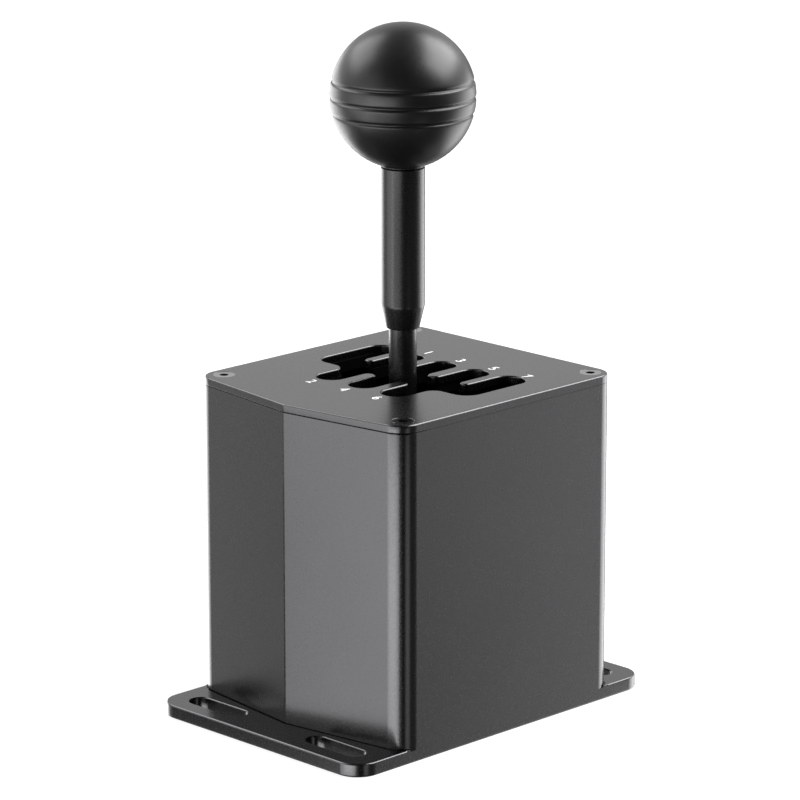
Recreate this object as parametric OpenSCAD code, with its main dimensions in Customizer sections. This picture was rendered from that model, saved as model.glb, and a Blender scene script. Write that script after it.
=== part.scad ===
// H-pattern gear shifter for a driving simulator.
// Millimetres. X is the driver's right, Y is forward, Z is up.
// The origin is under the lever's axis, on the underside of the base.

/* [Body] */
// Width of the body and of the base flange
body_w = 104; // [98:1:120]
// Height of the housing, up to the seat of the top cover
housing_h = 119.4; // [112:0.1:135]
// Distance from the lever axis to the rear face
rear_y = 56.6; // [55:0.1:66]
// Distance from the lever axis to the front corners
front_y = 52; // [52:1:60]
// How far the fold of the front stands out beyond its corners
fold_out = 7.2; // [4:0.1:9]
// Radius of the upright corners
corner_r = 8; // [6.5:0.5:10]
// Wall thickness of the housing
wall = 4; // [3:0.5:5]

/* [Base] */
// Length of the base flange, front to rear
base_len = 148.4; // [147:0.1:170]
// Thickness of the base flange
base_t = 5; // [4:0.5:8]
// Corner radius of the base flange
base_r = 9; // [4:0.5:12]
// Width of a mounting slot
mount_slot_w = 8; // [6:0.5:8.5]
// Length of a mounting slot, end to end
mount_slot_len = 27; // [16:1:32]
// Distance from the lever axis to the middle of a mounting slot, sideways
mount_slot_x = 30.3; // [26:0.1:33]
// Distance from the middle line of a mounting slot to the flange's edge
mount_slot_edge = 10.6; // [8:0.1:11]
// Width and depth of the seam line on the flange, along the housing's foot
foot_seam = 0.6; // [0.3:0.1:1]
// Thickness of the bottom plate
plate_t = 2.5; // [2:0.5:4]
// How far the bottom plate sits above the underside
plate_recess = 0.5; // [0.3:0.1:1]
// Width of the ledge that the bottom plate seats on
plate_ledge = 1.5; // [1:0.1:2]

/* [Cover and gate] */
// Thickness of the top cover
cover_t = 3; // [2.5:0.5:4]
// Distance between neighbouring gate columns
column_pitch = 16.5; // [16:0.1:17]
// Width of a gate slot
gate_slot_w = 11.2; // [11:0.1:12.4]
// Distance from neutral to the middle of a slot's round end
gate_reach = 19.4; // [18.3:0.1:20]
// Width of the neutral channel
neutral_w = 13.6; // [13:0.1:15]
// Extra length of the rear tongues, into the neutral channel
rear_tongue = 1.2; // [0:0.1:1.3]
// Extra width on the inner side of the two outer slots
outer_relief = 1.4; // [0:0.1:2]
// Extra length of the two outer slots
outer_rise = 1.9; // [0:0.1:3]
// Radius of the corners where the outer middle slots meet the neutral channel
gate_corner = 5; // [2:0.1:6]
// Thickness of the gate liner under the cover
liner_t = 4; // [3:0.5:5]
// Extra width of the liner's slots, on each side
liner_clear = 0.35; // [0.2:0.05:0.5]

/* [Lever] */
// Diameter of the lever rod
rod_d = 10; // [9:0.1:10.2]
// Diameter of the ball knob
knob_d = 52; // [44:1:58]
// Height of the knob's centre
knob_h = 223.9; // [215:0.1:245]
// Distance between the knob's grooves
groove_pitch = 5.9; // [4:0.1:8]
// Width of a groove in the knob
groove_w = 1.5; // [0.6:0.1:2]
// Diameter of the lever sleeve under the knob
sleeve_d = 15.8; // [14.6:0.1:18]
// Length of the lever sleeve
sleeve_len = 58.4; // [40:0.1:66]
// Length of the sleeve's tapered foot
sleeve_taper = 8; // [4:0.1:12]
// Width of the joint line between knob and sleeve
knob_gap = 0.4; // [0.2:0.1:0.8]

/* [Pivot] */
// Height of the pivot, where the two axes cross
pivot_h = 32; // [31:0.5:40]
// Tilt of the lever from neutral into a gear, forward or back
shift_angle = 11.5; // [9:0.5:11.5]
// Diameter of the cross pin that the lever tilts on
cross_pin_d = 8; // [6:0.5:8]
// Diameter of the trunnion pins that the cradle tilts on
trunnion_d = 10; // [8:0.5:10]
// Width of the cradle's window, sideways
window_x = 25; // [25:0.5:27]
// Length of the cradle's window, front to rear
window_y = 29; // [28:0.5:32]
// Wall thickness of the cradle
cradle_wall = 9; // [8:0.5:10]
// Height of the cradle
cradle_h = 16; // [15:0.5:18]
// Thickness of a pivot stand
stand_t = 10; // [8:0.5:11]
// Wall thickness of a bush
bush_wall = 2; // [1.5:0.25:2]
// Thickness of a bush's flange
bush_flange = 1.5; // [1:0.25:2]
// Running clearance of a pin in its bush, on the radius
running = 0.05; // [0.03:0.01:0.08]
// Clearance of a seated piece in its hole, on the radius
seated = 0.02; // [0.01:0.01:0.05]
// Play along a pivot's axis
end_play = 0.4; // [0.3:0.1:0.6]

/* [Centring and detent] */
// Distance from the lever axis to a centring spring
spring_x = 27; // [26:0.5:29]
// Wire diameter of a centring spring
spring_wire = 1.4; // [1:0.1:1.6]
// Diameter of a centring spring at the middle of its wire
spring_d = 9; // [8.8:0.1:10]
// Turns of a centring spring
spring_turns = 7; // [4:1:8]
// Thickness of the centring rocker
rocker_t = 10; // [9:0.5:11]
// Height of the rocker's arms
rocker_h = 10; // [8:0.5:11]
// Radius of the detent sector
sector_r = 20; // [18:0.5:22]
// Thickness of the detent sector
sector_t = 5; // [4:0.5:6]
// Diameter of the detent ball
ball_d = 4; // [3.5:0.1:4.5]
// Depth of a detent notch
notch_depth = 0.9; // [0.5:0.1:1]

/* [Electronics] */
// Thickness of a circuit board
board_t = 1.6; // [1:0.2:2]
// Width of both boards, sideways
board_w = 62; // [60:1:66]
// Length of the sensor board, front to rear
sensor_board_len = 36; // [34:1:40]
// Height of the control board
control_board_h = 34; // [32:1:40]
// Height of the data socket's middle
socket_h = 29; // [28:0.5:32]
// Width of the data socket
socket_w = 12; // [11.5:0.5:13]
// Height of the data socket's body
socket_body_h = 11; // [10.5:0.5:12]
// Length of a board standoff
standoff_len = 3; // [2.5:0.5:5]

/* [Fasteners] */
// Thread diameter of the cover screws
cover_screw_d = 4; // [3:0.5:4]
// Length of the cover screws
cover_screw_len = 14; // [10:1:20]
// Distance from a cover screw to the edges of the body
cover_screw_edge = 6.7; // [6:0.1:7]
// Thread diameter of the small screws
small_screw_d = 3; // [2.5:0.5:3]
// Thread diameter of the board screws
board_screw_d = 2.5; // [2:0.5:2.5]

/* [Hidden] */
$fn = 96;
// Overlap of a cut past the face it cuts
cut = 1;
// How far a spigot runs into the piece that carries it
root = 1;
sides = [-1, 1];

// Finishes
dark_metal = "#3a3a3b";
black_metal = "#1b1b1c";
steel = "#a9abad";
bronze = "#a8783c";
board_green = "#1f4a36";

// Body outline
half_w = body_w / 2;
fold_y = front_y + fold_out;
front_slope = fold_out / half_w;
front_lean = atan(front_slope);
plate_z = plate_recess + plate_t;
plate_inset = wall - plate_ledge;
cover_z = housing_h;
top_z = housing_h + cover_t;
inner_rear_y = rear_y - wall;

// Screws of the body
cover_screw_x = half_w - cover_screw_edge;
cover_screw_ys = [-front_y + cover_screw_edge, rear_y - cover_screw_edge];
boss_inset = 0.2;
boss_r = cover_screw_edge - boss_inset;
head_ratio = 2;
plate_fit = 0.2;
thread_run = 2;
bottom_grip = 6;
bottom_screw_len = plate_t + bottom_grip;

// Screw heads and their sockets, as shares of the thread's diameter
flat_hex = 0.36;
cap_head_h = 0.6;
cap_head_r = 0.9;
cap_hex = 0.45;
cap_hex_z = 0.2;
grub_hex = 0.28;

// Gate
gate_mid_z = top_z - cover_t / 2;
liner_mid_z = cover_z - liner_t / 2;
liner_ratio = (liner_mid_z - pivot_h) / (gate_mid_z - pivot_h);
liner_margin = 6;
liner_x = 2 * column_pitch + gate_slot_w / 2 + liner_margin;
liner_y = gate_reach + gate_slot_w / 2 + 2 * liner_margin;
liner_screw_in = 4;
liner_screw_grip = 2;

// Lever
knob_r = knob_d / 2;
sleeve_r = sleeve_d / 2;
rod_r = rod_d / 2;
neck_len = 0.5;
neck_z = knob_h - sqrt(knob_r * knob_r - sleeve_r * sleeve_r) - neck_len;
sleeve_top = neck_z - knob_gap;
sleeve_z = sleeve_top - sleeve_len;
insert_wall = 1.6;
insert_r = rod_r + insert_wall;
insert_depth = 8;
insert_top = knob_h - insert_depth;
groove_drop = 0.4;
edge_break = 0.5;

// Pivots
pin_r = cross_pin_d / 2;
trunnion_r = trunnion_d / 2;
cradle_x = window_x / 2 + cradle_wall;
cradle_y = window_y / 2 + cradle_wall;
cradle_top = pivot_h + cradle_h / 2;
stand_in = cradle_y + bush_flange + end_play;
stand_out = stand_in + stand_t;
stand_foot_t = 5;
stand_foot_x = 20;
stand_toe = 8;
stand_foot_len = stand_t + stand_toe;
stand_screw_x = 14;
stand_screw_y = stand_out + stand_toe / 2;
stand_screw_d = 4;
screw_short = 1;
stand_screw_len = plate_t + stand_foot_t - screw_short;
stand_rim = 5;
stand_head_r = trunnion_r + bush_wall + stand_rim;
rib_t = 4;
rib_in = 1;
rib_drop = 2;
cradle_corner = 5;
window_corner = 3;
pin_proud = 1;
circlip_edge = 1.5;
hub_x = window_x / 2 - bush_flange - end_play;
hub_r = 10;
hub_boss_wall = 4.5;
hub_boss_r = rod_r + hub_boss_wall;
hub_rise = 8;
hub_top = cradle_top + hub_rise;
rod_seat = 2;
rod_foot = pivot_h + pin_r + rod_seat;
hub_drop = 5;
hub_tail = pivot_h - cradle_h / 2 - hub_drop;
hub_screw_len = 5;
nut_ratio = 1.7;
nut_h = rod_d / 2;
circlip_t = 1.2;
circlip_rim = 2.5;

// Centring
rocker_in = stand_out + end_play;
rocker_out = rocker_in + rocker_t;
rocker_mid = (rocker_in + rocker_out) / 2;
rocker_hub_wall = 4.5;
rocker_hub_r = trunnion_r + rocker_hub_wall;
rocker_rim = 2.5;
rocker_end = spring_x + spring_d / 2 + rocker_rim;
rocker_screw_len = 4;
spigot_clear = 0.5;
spigot_r = spring_d / 2 - spring_wire / 2 - spigot_clear;
spigot_len = 5;
seat_t = 1.5;
spring_low = plate_z + seat_t;
spring_high = pivot_h - rocker_h / 2;

// Detent
sector_gap = 4;
sector_in = cradle_x + sector_gap;
sector_out = sector_in + sector_t;
sector_mid = (sector_in + sector_out) / 2;
sector_half_angle = 28;
sector_boss_wall = 4;
sector_boss_r = pin_r + sector_boss_wall;
ball_r = ball_d / 2;
ball_z = pivot_h + sector_r + running + ball_r;
ball_room = 0.1;
notch_r = ball_r + ball_room;
bracket_t = 4;
bracket_y = 10;
arm_clear = 3;
arm_low = pivot_h + sector_r + arm_clear;
arm_t = 7;
arm_top = arm_low + arm_t;
arm_rim = 2.5;
arm_in = 2;
plunger_wall = 1.9;
plunger_r = ball_r + ball_room / 2 + plunger_wall;
ball_show = 0.6;
plunger_low = pivot_h + sector_r + ball_r * ball_show;
plunger_rise = 6;
plunger_top = arm_top + plunger_rise;
plunger_cap = 3;
plunger_hex = 0.8;
plunger_nut_rim = 5;
plunger_nut_h = 4;
bracket_screw_in = 2.2;
bracket_screw_x = window_x / 2 + bracket_screw_in;
bracket_screw_y = 7;
bracket_grip = 3;
detent_wire = 0.6;
detent_turns = 6;
detent_room = 0.2;

// Tail magnet and sensor
magnet_r = 4;
magnet_h = 3;
holder_r = 5.5;
holder_len = 5;
holder_low = hub_tail - holder_len;
sensor_board_z = plate_z + standoff_len;
board_corner = 2;
board_hole_in = 4;
sensor_hole_in = 8;
sensor_hole_x = board_w / 2 - board_hole_in;
sensor_hole_y = sensor_board_len / 2 - sensor_hole_in;
standoff_floor = 0.25;
standoff_grip = 0.6;
chip_w = 6;
chip_h = 1.2;

// Control board
control_board_y = inner_rear_y - standoff_len - board_t;
control_board_gap = 7;
control_board_z = plate_z + control_board_gap;
control_hole_x = board_w / 2 - board_hole_in;
control_hole_zs = [control_board_z + board_hole_in, control_board_z + control_board_h - board_hole_in];
socket_fit = 0.3;
socket_out = 0.2;
socket_shell = 1.6;
mouth_corner = 1.6;
tongue_share = [0.64, 0.41];
tongue_short = 1.5;
board_boss_r = 3;
connector = [12, 4, 5];
connector_in = 7;
connector_x = board_w / 2 - connector_in;
connector_above = 4;
connector_z = control_hole_zs[0] + connector_above;
ribbon_w = 8;
ribbon_t = 0.9;
ribbon_bends = [0.4, 0.8];
ribbon_skew = 0.3;

// Outline of the housing and the cover: a box with round corners and a folded front
module body_outline(inset = 0) {
    r = corner_r - inset;
    hx = half_w - inset;
    ry = rear_y - inset;
    fy = fold_y - inset / cos(front_lean);
    cx = hx - r;
    front_c = -fy + front_slope * cx + r / cos(front_lean);
    rear_c = ry - r;
    tx = cx + r * sin(front_lean);
    ty = front_c - r * cos(front_lean);
    polygon([
        [0, -fy], [tx, ty], [hx, front_c], [hx, rear_c], [cx, ry],
        [-cx, ry], [-hx, rear_c], [-hx, front_c], [-tx, ty]
    ]);
    for (s = sides, y = [front_c, rear_c]) translate([s * cx, y]) circle(r);
}

module round_box(w, l, r) {
    square([w - 2 * r, l], center = true);
    square([w, l - 2 * r], center = true);
    for (sx = sides, sy = sides) translate([sx * (w / 2 - r), sy * (l / 2 - r)]) circle(r);
}

module long_slot(len, w) {
    square([len - w, w], center = true);
    for (s = sides) translate([s * (len - w) / 2, 0]) circle(w / 2);
}

// H-pattern gate with five columns; the two outer ones are wider and longer, and open forward only
module gate(pitch, w, reach, neutral) {
    r = w / 2;
    mid_y = neutral / 2;
    back_y = mid_y - rear_tongue;
    tip = (pitch - w) / 2;
    side_tip = tip - outer_relief / 2;
    side_x = 1.5 * pitch - outer_relief / 2;
    outer_r = r + outer_relief / 2;
    outer_x = 2 * pitch - outer_relief / 2;
    outer_rear = reach + outer_rise - outer_relief / 2;
    outer_front = outer_r - mid_y;
    corner_x = pitch + r + gate_corner;
    corner_y = mid_y + gate_corner;
    for (c = [-1 : 1]) translate([c * pitch, 0]) rotate(90) long_slot(2 * (reach + r), w);
    for (s = sides) {
        for (y = [outer_front, outer_rear]) translate([s * outer_x, y]) circle(outer_r);
        translate([s * outer_x - outer_r, outer_front]) square([2 * outer_r, outer_rear - outer_front]);
    }
    difference() {
        union() {
            translate([-pitch, -mid_y - tip]) square([2 * pitch, mid_y + back_y + 2 * tip]);
            translate([-outer_x, -mid_y]) square([2 * outer_x, mid_y + back_y + side_tip]);
            translate([-corner_x, -corner_y]) square([2 * corner_x, corner_y]);
        }
        for (s = sides) {
            for (y = [-mid_y - tip, back_y + tip]) translate([s * pitch / 2, y]) circle(tip);
            translate([s * side_x, back_y + side_tip]) circle(side_tip);
            translate([s * corner_x, -corner_y]) circle(gate_corner);
        }
        translate([-pitch, -corner_y - cut]) square([2 * pitch, corner_y - mid_y - tip + cut]);
    }
}

module at_cover_screws() {
    for (s = sides, y = cover_screw_ys) translate([s * cover_screw_x, y, 0]) children();
}

module along_x(x0, x1, r) {
    translate([x0, 0, pivot_h]) rotate([0, 90, 0]) cylinder(h = x1 - x0, r = r);
}

module along_y(y0, y1, r) {
    translate([0, y0, pivot_h]) rotate([-90, 0, 0]) cylinder(h = y1 - y0, r = r);
}

// A flat side-view outline in Y and Z about the pivot, drawn from x0 to x1
module slab_x(x0, x1) {
    translate([x0, 0, pivot_h]) rotate([90, 0, 90]) linear_extrude(x1 - x0) children();
}

// A flat front-view outline in X and Z about the pivot, drawn from y0 to y1
module slab_y(y0, y1) {
    translate([0, y1, pivot_h]) rotate([90, 0, 0]) linear_extrude(y1 - y0) children();
}

// Countersunk screw with its head's face at the origin, pointing down
module flat_screw(d, len) {
    head_h = d / 2;
    difference() {
        union() {
            translate([0, 0, -head_h]) cylinder(h = head_h, r1 = d / 2, r2 = d * head_ratio / 2);
            translate([0, 0, -len]) cylinder(h = len, r = d / 2);
        }
        translate([0, 0, -head_h]) cylinder(h = head_h + cut, r = d * flat_hex, $fn = 6);
    }
}

module flat_screw_hole(d, len) {
    head_h = d / 2;
    r = d / 2 + running;
    translate([0, 0, -head_h]) cylinder(h = head_h, r1 = r, r2 = r + head_h);
    translate([0, 0, -head_h]) cylinder(h = head_h + cut, r = r);
    translate([0, 0, -len - running]) cylinder(h = len, r = r);
}

// Cylinder head screw with the underside of its head at the origin, pointing down
module cap_screw(d, len) {
    difference() {
        union() {
            cylinder(h = d * cap_head_h, r = d * cap_head_r);
            translate([0, 0, -len]) cylinder(h = len, r = d / 2);
        }
        translate([0, 0, d * cap_hex_z]) cylinder(h = d, r = d * cap_hex, $fn = 6);
    }
}

module grub_screw(d, len) {
    difference() {
        cylinder(h = len, r = d / 2);
        translate([0, 0, len / 2]) cylinder(h = len, r = d * grub_hex, $fn = 6);
    }
}

module hex_nut(across, h, bore_r) {
    difference() {
        cylinder(h = h, r = across / 2 / cos(30), $fn = 6);
        translate([0, 0, -cut]) cylinder(h = h + 2 * cut, r = bore_r);
    }
}

// Wire of a coil spring: six-sided rings along a helix
spring_rings = 8;
wire_sides = 6;
function coil_angle(i) = 360 * i / spring_rings;
function coil_at(i, d, z0, rise) = [d / 2 * cos(coil_angle(i)), d / 2 * sin(coil_angle(i)), z0 + rise * i];
function coil_ring(i, d, z0, rise, wire) = [
    for (k = [0 : wire_sides - 1])
        let (
            a = coil_angle(i),
            lean = atan(rise * spring_rings / (PI * d)),
            e = 360 * k / wire_sides,
            out = wire / 2 * cos(e),
            up = wire / 2 * sin(e)
        )
        coil_at(i, d, z0, rise)
            + out * [cos(a), sin(a), 0]
            + up * [sin(lean) * sin(a), -sin(lean) * cos(a), cos(lean)]
];
function coil_faces(n) = concat(
    [for (i = [0 : n - 1], k = [0 : wire_sides - 1])
        let (a = i * wire_sides + k, b = i * wire_sides + (k + 1) % wire_sides)
        each [[a, a + wire_sides, b], [b, a + wire_sides, b + wire_sides]]],
    [for (k = [1 : wire_sides - 2]) [0, k, k + 1]],
    [for (k = [1 : wire_sides - 2]) let (e = n * wire_sides) [e, e + k + 1, e + k]]
);
function coil_gap(n, d, rise, wire) = min([
    for (i = [0 : n], j = [i + spring_rings / 2 : 1 : n])
        norm(coil_at(i, d, 0, rise) - coil_at(j, d, 0, rise)) - wire
]);

module coil_spring(d, wire, turns, low, high) {
    n = turns * spring_rings;
    lift = wire / 2 + seated;
    rise = (high - low - 2 * lift) / n;
    points = [for (i = [0 : n]) each coil_ring(i, d, low + lift, rise, wire)];
    echo(least_gap = coil_gap(n, d, rise, wire));
    polyhedron(points, coil_faces(n));
}

// Housing: four walls and the base flange in one casting
module housing() color(dark_metal) difference() {
    union() {
        linear_extrude(housing_h) body_outline();
        linear_extrude(base_t) round_box(body_w, base_len, base_r);
    }
    difference() {
        translate([0, 0, plate_z]) linear_extrude(housing_h) body_outline(wall);
        at_cover_screws() cylinder(h = housing_h, r = boss_r);
        for (s = sides, z = control_hole_zs)
            translate([s * control_hole_x, inner_rear_y - standoff_len, z])
                rotate([-90, 0, 0]) cylinder(h = standoff_len + cut, r = board_boss_r);
    }
    translate([0, 0, -cut]) linear_extrude(plate_z + cut) body_outline(plate_inset);
    at_cover_screws() {
        translate([0, 0, top_z]) flat_screw_hole(cover_screw_d, cover_screw_len + thread_run);
        translate([0, 0, plate_recess]) mirror([0, 0, 1])
            flat_screw_hole(small_screw_d, bottom_screw_len + thread_run);
    }
    translate([0, 0, base_t - foot_seam]) linear_extrude(foot_seam + cut) difference() {
        body_outline(-foot_seam);
        body_outline();
    }
    for (sx = sides, sy = sides)
        translate([sx * mount_slot_x, sy * (base_len / 2 - mount_slot_edge), -cut])
            linear_extrude(base_t + 2 * cut) long_slot(mount_slot_len, mount_slot_w);
    translate([0, rear_y, socket_h])
        cube([socket_w + 2 * socket_fit, 4 * wall, socket_body_h + 2 * socket_fit], center = true);
    for (s = sides, z = control_hole_zs)
        translate([s * control_hole_x, inner_rear_y - standoff_len - cut, z]) rotate([-90, 0, 0])
            cylinder(h = standoff_len + wall / 2 + cut, r = board_screw_d / 2 + running);
}

// Top cover with the shift gate
module top_cover() color(dark_metal) difference() {
    translate([0, 0, cover_z]) linear_extrude(cover_t) body_outline();
    translate([0, 0, cover_z - cut]) linear_extrude(cover_t + 2 * cut)
        gate(column_pitch, gate_slot_w, gate_reach, neutral_w);
    at_cover_screws() translate([0, 0, top_z]) flat_screw_hole(cover_screw_d, cover_screw_len);
    at_liner_screws() translate([0, 0, cover_z - cut])
        cylinder(h = liner_screw_grip + running + cut, r = small_screw_d / 2 + running);
}

module at_liner_screws() {
    for (sx = sides, sy = sides)
        translate([sx * (liner_x - liner_screw_in), sy * (liner_y - liner_screw_in), 0]) children();
}

// Moulded liner that the rod runs against, with slots drawn in towards the pivot
module gate_liner() color(black_metal) difference() {
    translate([0, 0, cover_z - liner_t]) linear_extrude(liner_t)
        round_box(2 * liner_x, 2 * liner_y, liner_screw_in);
    translate([0, 0, cover_z - liner_t - cut]) linear_extrude(liner_t + 2 * cut)
        gate(column_pitch * liner_ratio, gate_slot_w * liner_ratio + 2 * liner_clear,
            gate_reach * liner_ratio, neutral_w);
    at_liner_screws() translate([0, 0, cover_z - liner_t]) mirror([0, 0, 1])
        flat_screw_hole(small_screw_d, liner_t + liner_screw_grip);
}

module cover_screws() color(steel)
    at_cover_screws() translate([0, 0, top_z]) flat_screw(cover_screw_d, cover_screw_len);

module liner_screws() color(steel)
    at_liner_screws() translate([0, 0, cover_z - liner_t]) mirror([0, 0, 1])
        flat_screw(small_screw_d, liner_t + liner_screw_grip);

// Plate that closes the housing from below and carries the mechanism
module bottom_plate() color(dark_metal) difference() {
    translate([0, 0, plate_recess]) linear_extrude(plate_t) body_outline(plate_inset + plate_fit);
    at_cover_screws() translate([0, 0, plate_recess]) mirror([0, 0, 1])
        flat_screw_hole(small_screw_d, 2 * plate_t);
    at_stand_screws() flat_screw_hole(stand_screw_d, 2 * plate_t);
    for (s = sides) translate([s * spring_x, -rocker_mid, -cut])
        cylinder(h = plate_z + 2 * cut, r = small_screw_d / 2 + seated);
}

module bottom_screws() color(steel)
    at_cover_screws() translate([0, 0, plate_recess]) mirror([0, 0, 1])
        flat_screw(small_screw_d, bottom_screw_len);

module at_stand_screws() {
    for (sx = sides, sy = sides)
        translate([sx * stand_screw_x, sy * stand_screw_y, plate_recess]) mirror([0, 0, 1]) children();
}

// Pivot stand: a foot, a tapered upright with a round head, and a rib
module stand() difference() {
    union() {
        slab_y(stand_in, stand_out) {
            circle(stand_head_r);
            polygon([
                [-stand_head_r, 0], [stand_head_r, 0],
                [stand_foot_x, plate_z - pivot_h], [-stand_foot_x, plate_z - pivot_h]
            ]);
        }
        translate([-stand_foot_x, stand_in, plate_z]) cube([2 * stand_foot_x, stand_foot_len, stand_foot_t]);
        slab_x(-rib_t / 2, rib_t / 2) polygon([
            [stand_in + rib_in, plate_z - pivot_h], [stand_in + rib_in, -trunnion_r - bush_wall - rib_drop],
            [stand_out, -trunnion_r - bush_wall - rib_drop], [stand_in + stand_foot_len, plate_z - pivot_h]
        ]);
    }
    along_y(stand_in - cut, stand_out + cut, trunnion_r + running + bush_wall + seated);
    for (s = sides) translate([s * stand_screw_x, stand_screw_y, plate_z - cut])
        cylinder(h = stand_foot_t + 2 * cut, r = stand_screw_d / 2 + running);
}

module front_stand() color(dark_metal) mirror([0, 1, 0]) stand();
module rear_stand() color(dark_metal) stand();

module stand_screws() color(steel) at_stand_screws() flat_screw(stand_screw_d, stand_screw_len);

module trunnion_bushes() color(bronze)
    for (s = [0, 1]) mirror([0, s, 0]) difference() {
        union() {
            along_y(stand_in, stand_out, trunnion_r + running + bush_wall);
            along_y(stand_in - bush_flange, stand_in, trunnion_r + running + 2 * bush_wall);
        }
        along_y(stand_in - bush_flange - cut, stand_out + cut, trunnion_r + running);
    }

// Posts that hold the feet of the centring springs
module spring_posts() color(steel)
    for (s = sides) translate([s * spring_x, -rocker_mid, 0]) {
        translate([0, 0, plate_recess]) cylinder(h = plate_t + root, r = small_screw_d / 2);
        translate([0, 0, plate_z]) cylinder(h = seat_t, r = spring_d / 2 + spring_wire);
        translate([0, 0, plate_z]) cylinder(h = seat_t + spigot_len, r = spigot_r);
    }

module centring_spring(s) color(steel) translate([s * spring_x, -rocker_mid, 0])
    coil_spring(spring_d, spring_wire, spring_turns, spring_low, spring_high);

module centring_spring_left() centring_spring(-1);
module centring_spring_right() centring_spring(1);

module at_sensor_holes() {
    for (sx = sides, sy = sides) translate([sx * sensor_hole_x, sy * sensor_hole_y, 0]) children();
}

module sensor_board() color(board_green) difference() {
    translate([0, 0, sensor_board_z]) linear_extrude(board_t) round_box(board_w, sensor_board_len, board_corner);
    at_sensor_holes() cylinder(h = pivot_h, r = board_screw_d / 2 + running);
}

module sensor_standoffs() color(steel) at_sensor_holes() translate([0, 0, plate_z]) difference() {
    cylinder(h = standoff_len, r = board_boss_r);
    translate([0, 0, standoff_len * standoff_floor]) cylinder(h = standoff_len, r = board_screw_d / 2 + running);
}

module sensor_screws() color(steel) at_sensor_holes()
    translate([0, 0, sensor_board_z + board_t]) cap_screw(board_screw_d, board_t + standoff_len * standoff_grip);

module sensor_chip() color(black_metal)
    translate([-chip_w / 2, -chip_w / 2, sensor_board_z + board_t]) cube([chip_w, chip_w, chip_h]);

module at_control_holes(y) {
    for (s = sides, z = control_hole_zs)
        translate([s * control_hole_x, y, z]) rotate([-90, 0, 0]) children();
}

module control_board() color(board_green) difference() {
    translate([-board_w / 2, control_board_y, control_board_z]) cube([board_w, board_t, control_board_h]);
    at_control_holes(control_board_y - cut) cylinder(h = board_t + 2 * cut, r = board_screw_d / 2 + running);
}

module control_chip() color(black_metal)
    translate([-2 * chip_w, control_board_y - chip_h, socket_h - chip_w])
        cube([2 * chip_w, chip_h, 2 * chip_w]);

module control_screws() color(steel) at_control_holes(control_board_y) mirror([0, 0, 1])
    cap_screw(board_screw_d, board_t + standoff_len);

// Ribbon connectors, one on each board
module board_connectors() color(black_metal) {
    translate([connector_x - connector[0] / 2, sensor_board_len / 2 - connector[1], sensor_board_z + board_t])
        cube([connector[0], connector[1], connector[2]]);
    translate([connector_x - connector[0] / 2, control_board_y - connector[1], connector_z])
        cube([connector[0], connector[1], connector[2]]);
}

// Square data socket: a metal shell round a tongue
module usb_socket() color(steel) {
    depth = rear_y + socket_out - control_board_y - board_t;
    mouth_w = socket_w - 2 * socket_shell;
    mouth_h = socket_body_h - 2 * socket_shell;
    translate([0, control_board_y + board_t, socket_h]) rotate([90, 0, 180]) {
        difference() {
            linear_extrude(depth) square([socket_w, socket_body_h], center = true);
            translate([0, 0, socket_shell]) linear_extrude(depth) polygon([
                [-mouth_w / 2, -mouth_h / 2], [mouth_w / 2, -mouth_h / 2],
                [mouth_w / 2, mouth_h / 2 - mouth_corner], [mouth_w / 2 - mouth_corner, mouth_h / 2],
                [-mouth_w / 2 + mouth_corner, mouth_h / 2], [-mouth_w / 2, mouth_h / 2 - mouth_corner]
            ]);
        }
        linear_extrude(depth - tongue_short)
            square([mouth_w * tongue_share[0], mouth_h * tongue_share[1]], center = true);
    }
}

// Flat cable between the boards, beside the rear stand
module ribbon_cable() color("#c9c9c4") {
    z0 = sensor_board_z + board_t + connector[2] / 2;
    z1 = connector_z + connector[2] / 2;
    y0 = sensor_board_len / 2;
    y1 = control_board_y - connector[1];
    bend0 = y0 + (y1 - y0) * ribbon_bends[0];
    bend1 = y0 + (y1 - y0) * ribbon_bends[1];
    translate([connector_x - ribbon_w / 2, 0, 0]) rotate([90, 0, 90]) linear_extrude(ribbon_w) polygon([
        [y0, z0], [bend0, z0], [bend1, z1], [y1, z1],
        [y1, z1 + ribbon_t], [bend1 - ribbon_skew, z1 + ribbon_t],
        [bend0 - ribbon_skew, z0 + ribbon_t], [y0, z0 + ribbon_t]
    ]);
}

// Cradle: the ring of the gimbal, which tilts sideways
module cradle() color(dark_metal) difference() {
    translate([0, 0, pivot_h - cradle_h / 2]) linear_extrude(cradle_h) difference() {
        round_box(2 * cradle_x, 2 * cradle_y, cradle_corner);
        round_box(window_x, window_y, window_corner);
    }
    along_y(-cradle_y - cut, cradle_y + cut, trunnion_r + seated);
    along_x(-cradle_x - cut, cradle_x + cut, pin_r + running + bush_wall + seated);
    for (s = sides) translate([-bracket_screw_x, s * bracket_screw_y, cradle_top - bracket_grip - cut])
        cylinder(h = bracket_grip + 2 * cut, r = small_screw_d / 2 + running);
}

module trunnion(y0, y1) {
    along_y(y0, y1 - edge_break, trunnion_r);
    along_y(y1 - 2 * edge_break, y1, trunnion_r - edge_break);
}

module front_trunnion() color(steel) mirror([0, 1, 0]) trunnion(window_y / 2, rocker_out + pin_proud);

module rear_trunnion() color(steel)
    trunnion(window_y / 2, stand_out + end_play + circlip_t + circlip_edge);

module rear_circlip() color(black_metal) difference() {
    along_y(stand_out + end_play, stand_out + end_play + circlip_t, trunnion_r + circlip_rim);
    along_y(stand_out, stand_out + stand_t, trunnion_r + seated);
}

// Flanged bushes of the cross pin
module cross_bushes() color(bronze)
    for (s = [0, 1]) mirror([s, 0, 0]) difference() {
        union() {
            along_x(window_x / 2, cradle_x, pin_r + running + bush_wall);
            along_x(window_x / 2 - bush_flange, window_x / 2, pin_r + running + 2 * bush_wall);
        }
        along_x(window_x / 2 - bush_flange - cut, cradle_x + cut, pin_r + running);
    }

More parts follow.
